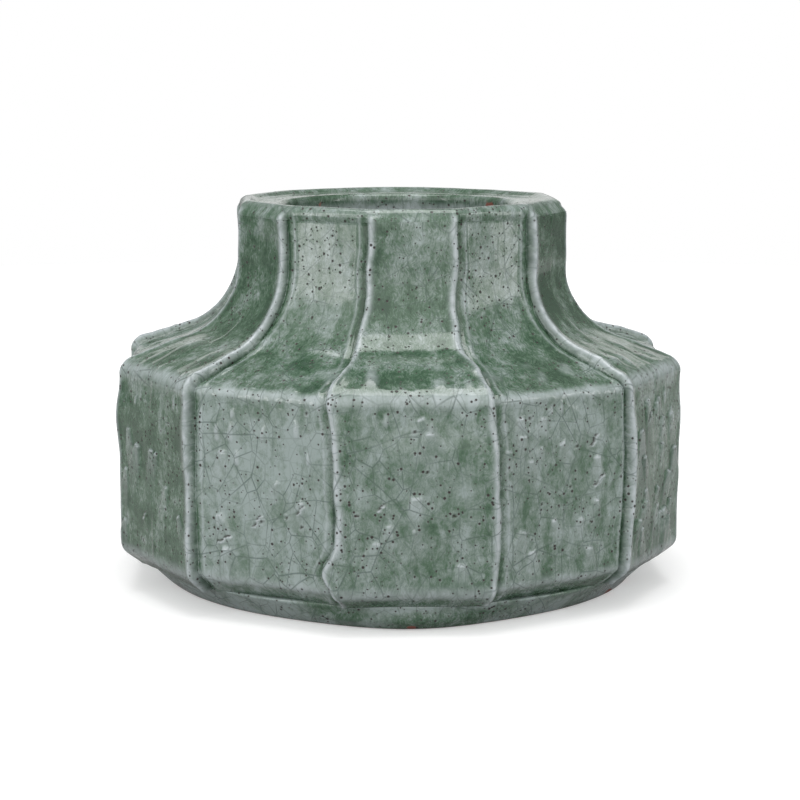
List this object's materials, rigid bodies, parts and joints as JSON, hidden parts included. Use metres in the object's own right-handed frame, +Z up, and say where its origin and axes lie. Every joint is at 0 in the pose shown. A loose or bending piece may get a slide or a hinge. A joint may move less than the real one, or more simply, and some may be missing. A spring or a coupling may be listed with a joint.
{
  "type": "brush holder pot",
  "caption": "Squat glazed stoneware brush pot with lapped panels, a sloping shoulder, a hollow-curved neck, a thick flat lip and a round foot.",
  "frame": {"origin": "on the vertical axis of the pot, at table level under the foot ring", "axes": "+Z up along the pot's axis, -Y towards the front, where a raised panel faces, +X to the viewer's right"},
  "size_m": [0.1642, 0.1642, 0.1115],
  "materials": {
    "glaze": "glossy crackled celadon glaze over grey stoneware, lilac-grey where it thins on edges, deep green where it pools",
    "foot_glaze": "the same crackled celadon glaze pooled dark, wiped back to bare iron-red clay under the foot",
    "inner_glaze": "thin blue-grey glaze, glossy"
  },
  "bodies": {
    "root": {"raised_slab_1": "glaze", "raised_slab_2": "glaze", "raised_slab_3": "glaze", "raised_slab_4": "glaze", "raised_slab_5": "glaze", "raised_slab_6": "glaze", "sunk_slab_1": "glaze", "sunk_slab_2": "glaze", "sunk_slab_3": "glaze", "sunk_slab_4": "glaze", "sunk_slab_5": "glaze", "sunk_slab_6": "glaze", "lip_ring": "glaze", "floor_slab": "inner_glaze", "foot_ring": "foot_glaze"}
  },
  "joints": []
}
